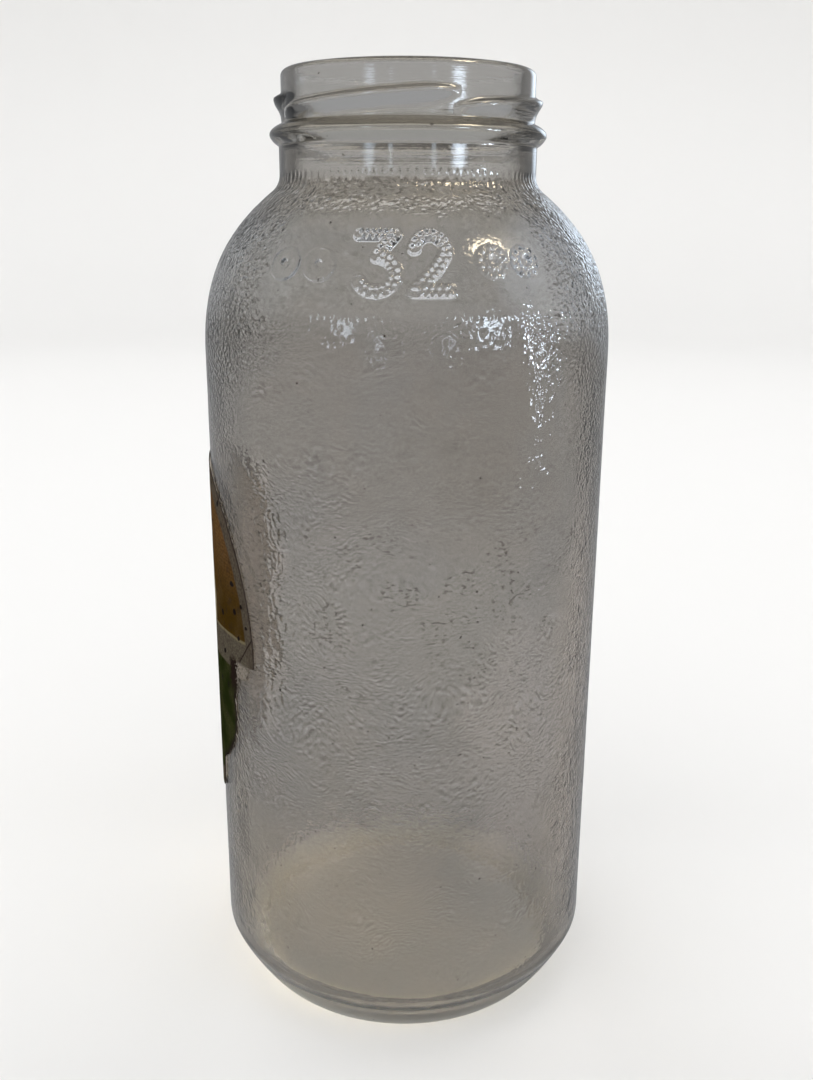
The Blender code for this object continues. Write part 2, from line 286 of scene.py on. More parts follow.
def bezier(start, start_handle, end_handle, end):
    t = np.linspace(0.0, 1.0, 120)[:, None]
    corners = [np.array(corner) for corner in (start, start_handle, end_handle, end)]
    weights = ((1 - t) ** 3, 3 * (1 - t) ** 2 * t, 3 * (1 - t) * t**2, t**3)
    return sum(weight * corner for weight, corner in zip(weights, corners))


def arc(centre, radius, start, end):
    angle = np.linspace(start, end, 40)
    return np.stack([centre[0] + radius * np.cos(angle), centre[1] + radius * np.sin(angle)], axis=1)


def shoulder(inset):
    """The dome and the neck fillet from the bottom up, moved in from the outer surface by inset."""
    cos_slope = math.cos(DOME_END_SLOPE)
    sin_slope = math.sin(DOME_END_SLOPE)
    fillet_radius = (DOME_END_RADIUS - NECK_RADIUS) / (1 - math.cos(math.pi / 2 - DOME_END_SLOPE))
    end = (DOME_END_RADIUS - inset * sin_slope, DOME_END_HEIGHT - inset * cos_slope)
    end_handle = (end[0] + DOME_END_HANDLE * cos_slope, end[1] - DOME_END_HANDLE * sin_slope)
    start = (BODY_RADIUS - inset, SHOULDER_START)
    dome = bezier(start, (start[0], SHOULDER_START + SHOULDER_START_HANDLE), end_handle, end)
    fillet_centre = (NECK_RADIUS + fillet_radius, DOME_END_HEIGHT + fillet_radius * cos_slope)
    fillet = arc(fillet_centre, fillet_radius + inset, math.pi * 1.5 - DOME_END_SLOPE, math.pi)
    return np.concatenate([dome, fillet[1:]])


def bead():
    along = np.linspace(-1.0, 1.0, 60)
    foot = NECK_RADIUS + (FINISH_RADIUS - NECK_RADIUS) * (1 + along) / 2
    lift = np.clip(np.cos(along * math.pi / 2), 0.0, 1.0) ** 0.8
    return np.stack([foot + (BEAD_RADIUS - foot) * lift, BEAD_HEIGHT + along * BEAD_HALF_WIDTH], axis=1)


def around(radius, angle, height):
    """Points at a radius and an angle round the axis."""
    return np.stack([radius * np.sin(angle), -radius * np.cos(angle), height], axis=-1)


def outer_profile():
    """From the axis under the base out, up the side and over to the top of the rim."""
    edge = BEARING_RADIUS - BEARING_WIDTH
    radius = np.linspace(0.0, edge, 80)
    hollow = np.stack([radius, PUSH_UP * (1 - (radius / edge) ** 2)], axis=1)
    heel = bezier(
        (BEARING_RADIUS, 0.0),
        (BEARING_RADIUS + HEEL_FOOT_HANDLE, 0.0),
        (BODY_RADIUS, HEEL_HEIGHT - HEEL_TOP_HANDLE),
        (BODY_RADIUS, HEEL_HEIGHT),
    )
    rim = arc((FINISH_RADIUS - RIM_ROUNDING, HEIGHT - RIM_ROUNDING), RIM_ROUNDING, 0.0, math.pi / 2)
    return np.concatenate([hollow, heel, shoulder(0.0), bead(), rim])


def inner_profile():
    """From the top of the rim down the inside and in to the axis on the floor."""
    mouth_radius = FINISH_RADIUS - FINISH_WALL
    rounding = (FINISH_WALL - RIM_ROUNDING) * 0.8
    rim = arc((mouth_radius + rounding, HEIGHT - rounding), rounding, math.pi / 2, math.pi)
    mouth = np.array([(mouth_radius, BEAD_HEIGHT - BEAD_HALF_WIDTH)])
    floor_edge = BODY_RADIUS - WALL - INNER_HEEL_RADIUS
    heel = arc((floor_edge, BASE_THICKNESS + INNER_HEEL_RADIUS), INNER_HEEL_RADIUS, 0.0, -math.pi / 2)
    radius = np.linspace(floor_edge, 0.0, 40)[1:]
    floor = np.stack([radius, BASE_THICKNESS + PUSH_UP * (1 - (radius / floor_edge) ** 2)], axis=1)
    return np.concatenate([rim, mouth, shoulder(WALL)[::-1], heel, floor])


def run_of(line):
    """How far along a polyline each of its points lies."""
    return np.concatenate([[0.0], np.cumsum(np.hypot(*np.diff(line, axis=0).T))])


def along_profile(points):
    """(distance along, radius, height) at close, even steps."""
    points = points[np.diff(run_of(points), prepend=-1.0) > 1e-7]
    along = run_of(points)
    even = np.arange(0.0, along[-1], 0.04 * MM)
    return even, np.interp(even, along, points[:, 0]), np.interp(even, along, points[:, 1])


def rows_of(points, spacing):
    """Rows of a mesh along a profile: radius, height, normal and distance along."""
    along, radius, height = along_profile(points)
    count = np.cumsum(np.gradient(along) / spacing(radius, height))
    rows = max(int(round(count[-1] - count[0])), 4)
    wanted = np.interp(np.linspace(count[0], count[-1], rows), count, along)

    def slope(values):
        softened = np.convolve(np.pad(values, 7, "edge"), np.ones(15) / 15, "valid")
        return np.gradient(softened, along)

    slope_r, slope_h = slope(radius), slope(height)
    length = np.hypot(slope_r, slope_h)
    kept = (radius, height, slope_h / length, -slope_r / length)
    return (*(np.interp(wanted, along, values) for values in kept), wanted)


def outer_spacing(radius, height):
    spacing = np.full(len(radius), BODY_ROWS)
    spacing[height < HEEL_HEIGHT * 1.3] = HEEL_ROWS
    spacing[(height < PUSH_UP * 1.2) & (radius < BEARING_RADIUS)] = BASE_ROWS
    spacing[height > SHOULDER_START] = SHOULDER_ROWS
    spacing[(height > PANEL_LOW - 1.0 * MM) & (height < PANEL_HIGH)] = PANEL_ROWS
    spacing[height > BEAD_HEIGHT - BEAD_HALF_WIDTH] = FINISH_ROWS
    return spacing


def inner_spacing(radius, height):
    spacing = np.full(len(radius), INNER_ROWS)
    spacing[height > PANEL_LOW] = INNER_SHOULDER_ROWS
    spacing[height < 16.0 * MM] = INNER_HEEL_ROWS
    spacing[height > HEIGHT - 3.0 * MM] = INNER_RIM_ROWS
    return spacing


# ---- noise, the same on each run

DIRECTIONS = np.random.default_rng(11).normal(size=(256, 3))
DIRECTIONS /= np.linalg.norm(DIRECTIONS, axis=1)[:, None]


def noise(points, seed):
    """Smooth gradient noise, about -1 to 1, one cell a unit. Points have shape (..., 3)."""
    shape = points.shape[:-1]
    points = points.reshape(-1, 3)
    cell = np.floor(points).astype(np.int64)
    part = points - cell
    fade = part**3 * (part * (part * 6 - 15) + 10)
    total = np.zeros(len(points))
    for corner in itertools.product((0, 1), repeat=3):
        at = cell + corner
        mixed = (at[:, 0] * 73856093) ^ (at[:, 1] * 19349663) ^ (at[:, 2] * 83492791) ^ (seed * 2654435761)
        mixed = ((mixed ^ (mixed >> 13)) * 1274126177) & 0x7FFFFFFF
        direction = DIRECTIONS[(mixed >> 8) % 256]
        weight = np.prod(np.where(corner, fade, 1 - fade), axis=1)
        total += weight * np.einsum("ij,ij->i", direction, part - corner)
    return total.reshape(shape) * 1.6


def smooth(low, high, values):
    t = np.clip((values - low) / (high - low), 0.0, 1.0)
    return t * t * (3 - 2 * t)


def fade_band(values, low, high, soft):
    """1 between low and high, fading over soft on both sides."""
    return smooth(low - soft, low, values) * (1 - smooth(high, high + soft, values))


def turn_band(angle, low, high, soft):
    """fade_band over angles given in degrees."""
    return fade_band(angle, math.radians(low), math.radians(high), math.radians(soft))


def turn_step(angle, low, high):
    """smooth over angles given in degrees."""
    return smooth(math.radians(low), math.radians(high), angle)


def worms(place, size, flatness, width, seed):
    """Short wandering ridges, 0 to 1: the lines where a noise crosses its middle, broken up."""
    warp = np.stack([noise(place / (size * 1.7), seed + extra) for extra in (1, 2, 3)], axis=-1)
    moved = place + warp * size * 0.55
    scale = np.array([1.0, 1.0, flatness]) / size
    ridge = np.clip(1 - np.abs(noise(moved * scale, seed + 4)) / width, 0.0, 1.0)
    gaps = smooth(-0.22, 0.12, noise(place * scale * 0.8 + 31.7, seed + 5))
    return ridge * ridge * (3 - 2 * ridge) * gaps


# ---- the relief of the glass


def curve(first, turn, steps, middle, reach):
    """Points along a part of an oval, from the angle first through turn, in degrees."""
    angle = np.radians(first + turn * np.arange(steps + 1) / steps)
    return list(zip(middle[0] + reach[0] * np.cos(angle), middle[1] + reach[1] * np.sin(angle)))


def three_outline():
    """The middle line of a flat-topped 3, in shares of a mark's width and height."""
    top = [(-0.46, 0.9), (-0.04, 0.9), (0.33, 0.9), (0.14, 0.74), (-0.03, 0.57)]
    return top + curve(75.0, -230.0, 10, (-0.02, 0.33), (0.38, 0.24))


def two_outline():
    """The middle line of a 2, in shares of a mark's width and height."""
    foot = [(0.13, 0.42), (-0.10, 0.26), (-0.33, 0.1), (0.0, 0.1), (0.34, 0.1)]
    return curve(175.0, -195.0, 8, (0.0, 0.67), (0.33, 0.23)) + foot


def even_line(outline):
    """A polyline in metres at close, even steps, with its direction at each."""
    line = np.array(outline)
    along = run_of(line)
    even = np.linspace(0.0, along[-1], int(along[-1] / (0.12 * MM)))
    points = np.stack([np.interp(even, along, line[:, axis]) for axis in (0, 1)], axis=1)
    heading = np.gradient(points, axis=0)
    return even, points, heading / np.linalg.norm(heading, axis=1)[:, None]


def nearest(points, others):
    gaps = points[:, None] - others
    return np.sqrt((gaps**2).sum(-1)).min(axis=1)


def pearl_spots(even, points, heading):
    """Two staggered rows of pearls along a line."""
    starts = np.arange(0.3 * MM, even[-1] - 0.2 * MM, PEARL_PITCH)
    rows = []
    for side, shift in ((1.0, 0.0), (-1.0, PEARL_PITCH / 2)):
        spots = np.searchsorted(even, np.clip(starts + shift, 0.0, even[-1]))
        spots = np.clip(spots, 0, len(even) - 1)
        sideways = np.stack([-heading[spots, 1], heading[spots, 0]], axis=1)
        rows.append(points[spots] + sideways * side * PEARL_ASIDE)
    return np.concatenate(rows)


def add_mark(lift, across, rise, outline, mark_rise, proud, pearls):
    """Raises one mark: a soft-edged band along its outline, rimmed, with or without pearls."""
    line = even_line([(wide * MARK_WIDTH, up * mark_rise) for wide, up in outline])
    near = (np.abs(across) < MARK_WIDTH * 0.75) & (rise > -3 * MM) & (rise < mark_rise + 3 * MM)
    here = np.stack([across[near], rise[near]], axis=1)
    gap = nearest(here, line[1])
    rim = np.exp(-(((gap - MARK_EDGE[0]) / MARK_RIM) ** 2))
    raised = proud * (BAND_SHARE * (1 - smooth(*MARK_EDGE, gap)) + RIM_SHARE * rim)
    if pearls:
        from_pearl = nearest(here, pearl_spots(*line)) / PEARL_RADIUS
        raised += proud * PEARL_SHARE * np.sqrt(np.clip(1 - from_pearl**2, 0.0, 1.0))
    lift[near] = np.maximum(lift[near], raised)


def threads(angle, height):
    """How far the thread's ridges stand out of the finish."""
    lift = np.zeros_like(angle)
    for start in range(THREAD_STARTS):
        first = THREAD_FIRST_ANGLE + start * math.tau / THREAD_STARTS
        turned = (angle - first) % math.tau
        from_end = np.minimum(turned, THREAD_SPAN - turned)
        size = np.sin(np.clip(from_end / THREAD_TAPER, 0.0, 1.0) * math.pi / 2)
        centre = THREAD_FIRST_HEIGHT + THREAD_LEAD * turned / math.tau - (1 - size) * THREAD_END_DROP
        above = height - centre
        reach = np.where(above > 0, THREAD_ABOVE, THREAD_BELOW)
        reach = reach * (THREAD_END_SHARE + (1 - THREAD_END_SHARE) * size)
        power = np.where(above > 0, THREAD_ABOVE_POWER, THREAD_BELOW_POWER)
        ridge = np.exp(-(np.abs(above / reach) ** power))
        lift = np.maximum(lift, np.where(turned < THREAD_SPAN, ridge * THREAD_PROUD * size, 0.0))
    return lift


def panel_share(angle, height, place):
    """1 on the smooth panel of the shoulder, 0 clear of it."""
    uneven = noise(place / (6 * MM), 43)
    tall = fade_band(height + uneven * 1.2 * MM, PANEL_LOW, PANEL_HIGH - 1.4 * MM, 2.4 * MM)
    wide = fade_band(angle + uneven * 0.06, -PANEL_HALF_ANGLE, PANEL_HALF_ANGLE, math.radians(5.0))
    return tall * wide


def grooves(height, place, on_panel):
    """(how deep the wrinkles lie in millimetres, where they run)"""
    depth = (
        SHOULDER_DEPTH * fade_band(height, *SHOULDER_WRINKLES)
        + BODY_DEPTH * fade_band(height, *BODY_WRINKLES)
        + LOW_DEPTH * fade_band(height, *LOW_WRINKLES)
    )
    depth = depth * (1 + 0.45 * noise(place / (17 * MM), 71)) * (1 - on_panel)
    low_part = 1 - smooth(*PLAIN_MIDDLE, height)
    fine = worms(place, 2.3 * MM, 1.35, 0.17, 5)
    rippled = worms(place, 3.0 * MM, 2.3, 0.2, 23)
    return depth, fine * (1 - low_part) + np.maximum(rippled, 0.6 * fine) * low_part


def raised_marks(angle, height, place, rise):
    """The numerals and the rosettes on the panel."""
    marks = np.zeros_like(angle)
    row_heights = height[:, 0]
    upward = row_heights > HEEL_HEIGHT

    def at_height(wanted, values):
        return np.interp(wanted, row_heights[upward], values[upward])

    mark_foot = at_height(MARK_LOW, rise[:, 0])
    mark_rise = at_height(MARK_HIGH, rise[:, 0]) - mark_foot
    radius = at_height((MARK_LOW + MARK_HIGH) / 2, np.hypot(place[:, 0, 0], place[:, 0, 1]))
    settings = [
        (NUMERAL_THREE_ANGLE, three_outline(), NUMERAL_PROUD, True),
        (NUMERAL_TWO_ANGLE, two_outline(), NUMERAL_PROUD, True),
    ]
    reach = (ROSETTE_RADIUS / MARK_WIDTH, ROSETTE_RADIUS / mark_rise)
    for spot, middle, *look in ROSETTES:
        settings.append((spot, curve(90.0, -360.0, 24, (0.0, middle), reach), *look))
    for spot, outline, proud, pearls in settings:
        add_mark(marks, (angle - spot) * radius, rise - mark_foot, outline, mark_rise, proud, pearls)
    return marks


def outer_relief(angle, height, place, rise):
    """Over the outside: the lift out of the plain surface, how deep in a groove each point lies, how
    much it tilts up, and how far it is on the panel."""
    on_panel = panel_share(angle, height, place)
    depth, groove = grooves(height, place, on_panel)
    under_label = label_cover(angle, height)
    lift = -depth * MM * groove * (1 - 0.7 * under_label)
    lift += UNEVEN_DEPTH * noise(place / (6 * MM), 91) * fade_band(height, *UNEVEN_GLASS)

    upright = np.abs(np.sin(angle * NECK_GROOVE_COUNT / 2 + 1.4 * noise(place / (5 * MM), 37)))
    lift -= NECK_GROOVE_DEPTH * (1 - upright) ** 1.5 * fade_band(height, *NECK_GROOVES)

    pips = np.cos(angle * BODY_RADIUS / PIP_PITCH * math.tau)
    row = np.exp(-(((height - PIP_HEIGHT) / PIP_REACH) ** 2)) * fade_band(angle, -0.6, 0.62, 0.06)
    lift += PIP_PROUD * np.clip(pips, 0.0, 1.0) * row

    for side in (-1.0, 1.0):
        seam = np.exp(-(((angle - side * math.pi / 2) * BODY_RADIUS / SEAM_REACH) ** 2))
        lift += SEAM_PROUD * seam * fade_band(height, *MOULD_SEAM) * (1 - under_label)

    lift += raised_marks(angle, height, place, rise)
    in_finish = height > BEAD_HEIGHT + BEAD_HALF_WIDTH * 0.6
    lift += np.where(in_finish, threads(angle, height), 0.0)
    tilt = -np.gradient(lift, rise[:, 0], axis=0)
    return lift, groove * (1 - on_panel) * np.clip(depth / SHOULDER_DEPTH, 0.0, 1.0), tilt, on_panel


def oval_patch(angle, height, middle_angle, middle_height, half_angle, half_height):
    """1 in the middle of a broad oval patch, fading to 0 at its edge. Degrees and millimetres."""
    across = (np.degrees(angle) - middle_angle) / half_angle
    tall = (height / MM - middle_height) / half_height
    return 1 - smooth(0.1, 1.0, across**2 + tall**2)


def outer_tints_and_painted_light(angle, height, place):
    """The glass's colour over the outside, as broad clouds, bands and patches. The patches are painted
    light, shade and reflections, and the lighter heel, foot and underside are painted light.
    """
    tint_and_painted_light = np.broadcast_to(GLASS_TINT, (*angle.shape, 3))

    def blend(share, colour):
        return tint_and_painted_light + share[..., None] * (colour - tint_and_painted_light)

    clouds = noise(place / (30 * MM), 61)
    patches = noise(place / (9 * MM), 62) + 0.4 * noise(place / (4 * MM), 63)
    uneven = angle + 0.10 * noise(place / (12 * MM), 64)
    tint_and_painted_light = blend(1 - smooth(-0.35, 0.35, clouds), GLASS_COOL)
    tint_and_painted_light = blend(0.4 * smooth(-0.1, 0.5, patches), GLASS_WARM)
    # broad patches of painted light, shade and reflection
    for *oval, strength, colour in GLASS_PAINTED_LIGHT_PATCHES:
        tint_and_painted_light = blend(oval_patch(uneven, height, *oval) * strength, colour)
    under_neck = fade_band(height, *UNDER_NECK) * (0.75 + 0.25 * smooth(-0.3, 0.3, patches))
    tint_and_painted_light = blend(under_neck, GLASS_UNDER_NECK)
    for low, high, colour in GLASS_UPPER_BANDS:
        tint_and_painted_light = blend(smooth(low * MM, high * MM, height), colour)
    # the far wall of the neck is clear, so that one wall looks like two
    facing = np.clip(3 * np.cos(angle), -1.0, 1.0) * smooth(*NECK_FOOT, height)
    tint_and_painted_light = tint_and_painted_light ** (1 + facing[..., None])
    # painted light that lifts the shade at the heel, the front of the foot and the underside
    tint_and_painted_light = blend(1 - smooth(3 * MM, 10 * MM, height), GLASS_HEEL_PAINTED_LIGHT)
    in_front = 1 - turn_step(np.abs(angle), 60, 100)
    tint_and_painted_light = blend((1 - smooth(1.0 * MM, 4.5 * MM, height)) * in_front, GLASS_FOOT_PAINTED_LIGHT)
    from_axis = np.hypot(place[..., 0], place[..., 1])
    underside = (1 - smooth(35.5 * MM - in_front * 5 * MM, 37 * MM, from_axis)) * (height < 5 * MM)
    return blend(underside, GLASS_UNDERSIDE_PAINTED_LIGHT)


def wrinkle_fields(angle, height, place, on_panel):
    """Over the outside: how strong the combed ripples, the dashes and the pits are, and how far the
    ripples bend."""
    off_panel = 1 - on_panel
    aside = np.abs(angle)
    beside = np.maximum(turn_step(aside, 28, 42), smooth(180 * MM, 183 * MM, height)) * off_panel
    on_shoulder = (fade_band(height, *SHOULDER_RIPPLES) + 0.6 * fade_band(height, *TURN_RIPPLES)) * beside
    on_body = smooth(8 * MM, 30 * MM, height) * (1 - smooth(160 * MM, 170 * MM, height)) * off_panel

    rippled = smooth(48 * MM, 68 * MM, height) * (1 - smooth(84 * MM, 112 * MM, height))
    broken = smooth(-0.25, 0.2, noise(place / (2.4 * MM), 65))
    sparse = smooth(-0.2, 0.25, noise(place / (11 * MM), 66))
    beside_label = turn_band(angle, -42, -17, 8) * fade_band(height, *LABEL_RIPPLES)
    ripples = 0.16 * sparse + 0.16 + np.maximum(0.50 * rippled, 0.42 * beside_label)
    ripples = on_body * ripples * (0.45 + 0.55 * broken) + on_shoulder * (0.2 + 0.6 * broken)
    bend = 4.0 * MM * noise(place / (13 * MM), 69) + 0.9 * MM * noise(place / (4 * MM), 72)

    # where the dashes of painted shade gather
    gathered = smooth(0.02, 0.3, noise(place / (6 * MM), 67))
    dashes = gathered * fade_band(height, *BODY_DASHES) + 0.9 * on_shoulder

    uneven = angle + 0.05 * noise(place / (5 * MM), 68)
    close = [strength * oval_patch(uneven, height, *oval) for *oval, strength in PIT_PATCHES]
    here_and_there = smooth(0.12, 0.4, noise(place / (4.5 * MM), 70)) * turn_step(angle, 12, 24)
    at_the_turn = fade_band(height, *TURN_PITS) * off_panel
    everywhere = 0.05 + 0.26 * here_and_there + 0.40 * turn_step(aside, 45, 62) + 0.20 * at_the_turn
    pits = np.max([on_body * everywhere + on_shoulder * (0.30 + everywhere), *close], axis=0)
    calm = np.maximum(0.92 * turn_band(angle, -34, 8, 8), 0.60 * turn_band(angle, 0, 28, 4))
    pits = pits * (1 - calm * fade_band(height, *CALM_TURN))
    return (*(np.clip(field, 0.0, 1.0) for field in (ripples, dashes, pits)), bend)


def label_cover(angle, height):
    """1 under the label, 0 clear of it."""
    whole_turn = math.tau * BODY_RADIUS / LABEL_HALF_WIDTH
    across = (angle - LABEL_CENTRE_ANGLE) * BODY_RADIUS / LABEL_HALF_WIDTH
    across = np.where(across < -2.5, across + whole_turn, across)
    up = (height - LABEL_CENTRE_HEIGHT) / LABEL_HALF_HEIGHT
    return 1 - smooth(0.97, 1.04, np.hypot(across, up))


def column_angles():
    """Angles of the mesh's columns from -pi: close in front, wider behind."""
    dense = np.linspace(-math.pi, math.pi, 20001)
    in_front = np.abs(dense) < PANEL_HALF_ANGLE * 1.08
    step = np.where(in_front, FRONT_COLUMNS, BACK_COLUMNS) / (42 * MM)
    count = np.cumsum(np.gradient(dense) / step)
    return np.interp(np.linspace(count[0], count[-1], int(count[-1]) + 1)[:-1], count, dense)


def mesh_from(name, points, quads, triangles):
    mesh = bpy.data.meshes.new(name)
    faces = np.concatenate([quads.ravel(), np.ravel(triangles)])
    sizes = np.repeat([4, 3], [len(quads), len(triangles)])
    starts = np.concatenate([[0], np.cumsum(sizes)[:-1]])
    mesh.vertices.add(len(points))
    mesh.vertices.foreach_set("co", points.astype(np.float32).ravel())
    mesh.loops.add(len(faces))
    mesh.loops.foreach_set("vertex_index", faces.astype(np.int32))
    mesh.polygons.add(len(sizes))
    mesh.polygons.foreach_set("loop_start", starts.astype(np.int32))
    mesh.update(calc_edges=True)
    mesh.validate()
    mesh.shade_smooth()
    return mesh


def closed_grid(rows, columns, first=0):
    """Each point's index, that of its neighbour round the grid, and the quads between the rows."""
    index = np.arange(first, first + rows * columns).reshape(rows, columns)
    after = np.roll(index, -1, axis=1)
    return index, after, np.stack([index[:-1], after[:-1], after[1:], index[1:]], axis=-1).reshape(-1, 4)


def keep_values(mesh, name, values):
    layer = mesh.attributes.new(name, "FLOAT", "POINT")
    layer.data.foreach_set("value", values.astype(np.float32).ravel())


# The order of a quad's corners that turns it over
TURNED_OVER = [0, 3, 2, 1]
# What each point of the bottle keeps for its material
FIELDS = ("groove", "tilt", "ripples", "dashes", "pits", "bend", "outer", "worn")


def outer_side(angle, radius, height, out_h, rise):
    """The outside's lift, its values for the material, and its tints with their painted light and shade."""
    place = around(radius, angle, height)
    lift, groove, tilt, on_panel = outer_relief(angle, height, place, rise)
    in_finish = smooth(*NECK_TOP, height)
    # painted shade on the faces of the finish that look up
    facing_up_shade = smooth(0.15, 0.5, (out_h + tilt) * in_finish)
    tint_and_painted_light = outer_tints_and_painted_light(angle, height, place) * (1 - facing_up_shade[..., None] * GLASS_FACING_UP_SHADE)
    # how strongly the raised forms get their painted shade and highlight: most on the panel, none on the
    # finish
    tilt = tilt * (0.15 + 0.75 * on_panel) * (1 - in_finish)
    worn = 1 - smooth(*WORN_FOOT, height)
    wrinkles = wrinkle_fields(angle, height, place, on_panel)
    return lift, (groove, tilt, *wrinkles, np.ones_like(angle), worn), tint_and_painted_light


def inner_side(angle, radius, height):
    place = around(radius, angle, height)
    wave = noise(place / (15 * MM), 53) + 0.5 * noise(place / (7 * MM), 59)
    lift = 0.12 * MM * wave * fade_band(height, *INNER_WAVES)
    return lift, [np.zeros_like(angle)] * len(FIELDS), np.ones((*angle.shape, 3))


def bottle_mesh():
    """The whole bottle as one closed grid: up the outside to the rim, then down the inside."""
    angles = column_angles()
    outside = rows_of(outer_profile(), outer_spacing)
    inside = rows_of(inner_profile(), inner_spacing)
    grids, fields, tints_and_painted_light = [], [], []
    for rows, stop in ((outside, None), (inside, -1)):
        flat = np.broadcast_arrays(angles, *(values[1:stop, None] for values in rows))
        angle, radius, height, out_r, out_h, rise = flat
        if rows is outside:
            lift, values, tint_and_painted_light = outer_side(angle, radius, height, out_h, rise)
        else:
            lift, values, tint_and_painted_light = inner_side(angle, radius, height)
        grids.append(around(radius + out_r * lift, angle, np.maximum(height + out_h * lift, 0.0)))
        fields.append(np.stack(values))
        tints_and_painted_light.append(tint_and_painted_light.reshape(-1, 3))
    grid = np.concatenate(grids)
    rows, columns = grid.shape[:2]
    index, after, quads = closed_grid(rows, columns)
    base_centre = rows * columns
    floor_centre = base_centre + 1
    fans = [(base_centre, after[0, column], index[0, column]) for column in range(columns)]
    fans += [(floor_centre, index[-1, column], after[-1, column]) for column in range(columns)]
    ends = [(0.0, 0.0, outside[1][0]), (0.0, 0.0, inside[1][-1])]
    mesh = mesh_from("bottle_glass_body", np.concatenate([grid.reshape(-1, 3), ends]), quads, fans)
    for name, values in zip(FIELDS, np.concatenate(fields, axis=1)):
        at_ends = (float(name in ("outer", "worn")), 0.0)
        keep_values(mesh, name, np.concatenate([values.ravel(), at_ends]))
    tint_and_painted_light = np.concatenate([*tints_and_painted_light, [GLASS_UNDERSIDE_PAINTED_LIGHT, (1.0, 1.0, 1.0)]])
    tint_and_painted_light = np.insert(tint_and_painted_light, 3, 1.0, axis=1)
    layer = mesh.attributes.new("tint_and_painted_light", "FLOAT_COLOR", "POINT")
    layer.data.foreach_set("color", tint_and_painted_light.astype(np.float32).ravel())
    return mesh


# ---- the label's sheet


def label_mesh():
    """A thin sheet on the glass in spokes and rings, torn back and frayed along its edge."""
    direction = np.linspace(-90.0, 270.0, LABEL_SPOKES + 1)[:-1]
    share = np.interp(direction, *np.array(LABEL_TEARS).T)
    torn = smooth(0.0, 0.06, 1 - share)
    ragged = np.stack([direction / 1.7, *np.zeros((2, LABEL_SPOKES))], axis=1)
    fray = noise(ragged, 3) + 0.6 * noise(ragged * 2.7, 4)
    share = share + (0.012 * torn + 0.0012) * fray
    ring = (np.arange(1, LABEL_RINGS + 1) / LABEL_RINGS)[:, None]

    def with_middle(middle, values):
        return np.concatenate([[middle], np.broadcast_to(values, (LABEL_RINGS, LABEL_SPOKES)).ravel()])

    across = with_middle(0.0, ring * share * LABEL_HALF_WIDTH * np.cos(np.radians(direction)))
    up = with_middle(0.0, ring * share * LABEL_HALF_HEIGHT * np.sin(np.radians(direction)))
    from_edge = with_middle(LABEL_HALF_WIDTH, (1 - ring) * share * LABEL_HALF_WIDTH)
    torn_edge = with_middle(0.0, torn)
    angle = LABEL_CENTRE_ANGLE + across / BODY_RADIUS
    height = LABEL_CENTRE_HEIGHT + up
    flat = np.stack([across, up, np.zeros_like(up)], axis=1)
    wrinkle = 0.03 * MM * noise(flat / (5 * MM), 8) + 0.02 * MM * noise(flat / (2 * MM), 9)
    thin = LABEL_THICKNESS * (0.4 + 0.6 * smooth(0.0, 0.8 * MM, from_edge))
    inner = LABEL_LIFT + wrinkle
    sheets = [around(BODY_RADIUS + lift, angle, height) for lift in (inner, inner + thin)]
    count = len(angle)
    index, after, quads = closed_grid(LABEL_RINGS, LABEL_SPOKES, 1)
    face = quads[:, TURNED_OVER]
    edge = np.stack([after[-1], after[-1] + count, index[-1] + count, index[-1]], axis=-1)
    quads = np.concatenate([face + count, face[:, ::-1], edge])
    middle = [(count, a + count, b + count) for a, b in zip(index[0], after[0])]
    middle += [(0, b, a) for a, b in zip(index[0], after[0])]
    mesh = mesh_from("label_paper_sheet", np.concatenate(sheets), quads, middle)
    kept = {"across": across / MM, "tall": height / MM, "from_edge": from_edge / MM, "torn_edge": torn_edge}
    for name, values in kept.items():
        keep_values(mesh, name, np.tile(values, 2))
    keep_values(mesh, "printed", np.repeat([0.0, 1.0], count))
    return mesh


# ---- shader maths


class Value:
    """A socket of a node tree. Python's operators on it add Math nodes."""

    def __init__(self, shop, socket):
        self.shop = shop
        self.socket = socket

    def other(self, name):
        return Value(self.shop, self.socket.node.outputs[name])

    def math(self, operation, *values, **settings):
        sockets = dict(enumerate((self, *values)))
        return self.shop.node("ShaderNodeMath", {"operation": operation, **settings}, sockets)

    def __add__(self, value):
        return self.math("ADD", value)

    def __mul__(self, value):
        return self.math("MULTIPLY", value)

    def __sub__(self, value):
        return self.math("SUBTRACT", value)

    def __neg__(self):
        return self * -1.0

    def __truediv__(self, value):
        return self.math("DIVIDE", value)

    def __pow__(self, value):
        return self.math("POWER", value)

    def between(self, low, high, low_out=0.0, high_out=1.0):
        """A smooth ramp from low_out at low to high_out at high."""
        sockets = {"Value": self, "From Min": low, "From Max": high, "To Min": low_out, "To Max": high_out}
        return self.shop.node("ShaderNodeMapRange", {"interpolation_type": "SMOOTHSTEP"}, sockets)


